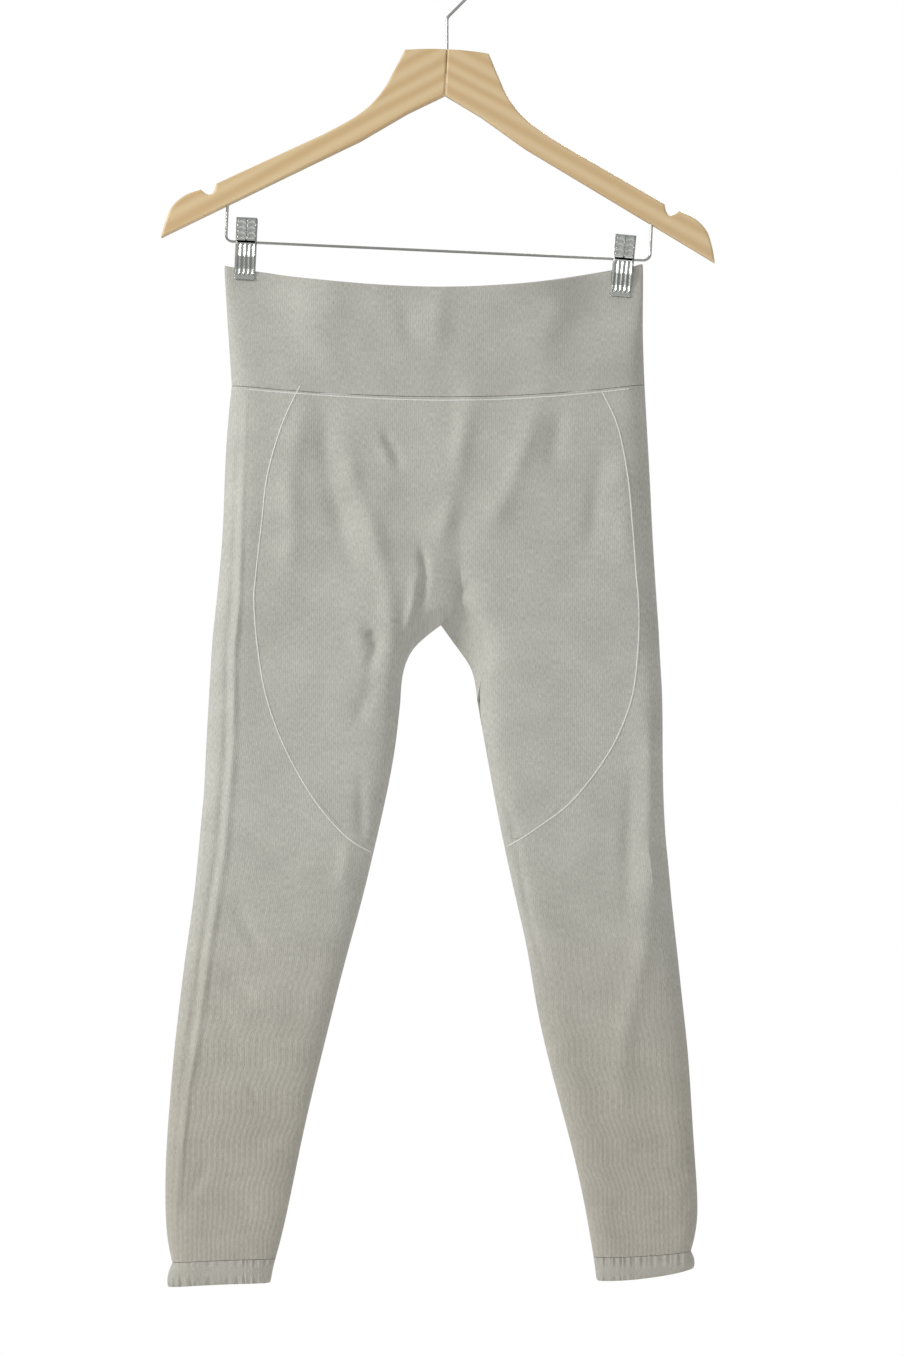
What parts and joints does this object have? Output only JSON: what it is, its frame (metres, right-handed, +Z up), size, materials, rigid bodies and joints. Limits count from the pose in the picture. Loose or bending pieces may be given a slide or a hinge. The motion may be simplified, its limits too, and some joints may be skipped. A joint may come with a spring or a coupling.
{
  "type": "leggings on a clip hanger",
  "caption": "Grey knitted leggings with a wide waistband, hung flat by the waist from a wooden hanger with metal clips.",
  "frame": {"origin": "underside of the top of the hook, where a rail carries the hanger", "axes": "+Z up, -Y towards the front of the garment, +X to the viewer's right"},
  "size_m": [0.4496, 0.042, 1.0833],
  "materials": {
    "knit_body": "fine melange jersey knit, warm light grey, matt",
    "knit_band": "doubled fine knit, light grey, matt, smooth",
    "knit_cuff": "puckered elastic knit edge, grey, matt",
    "wood": "pale maple, clear satin lacquer",
    "chrome_wire": "bright plated wire",
    "chrome_clip": "pressed and plated sheet, embossed"
  },
  "bodies": {
    "root": {"waistband": "knit_band", "front_panel": "knit_body", "gusset": "knit_body", "leg_left": "knit_body", "leg_right": "knit_body", "cuff_left": "knit_cuff", "cuff_right": "knit_cuff", "hook": "chrome_wire", "hanger_arm_left": "wood", "hanger_arm_right": "wood", "trouser_bar": "chrome_wire", "clip_left_front": "chrome_clip", "clip_left_back": "chrome_clip", "clip_left_spring": "chrome_wire", "clip_right_front": "chrome_clip", "clip_right_back": "chrome_clip", "clip_right_spring": "chrome_wire"}
  },
  "joints": []
}
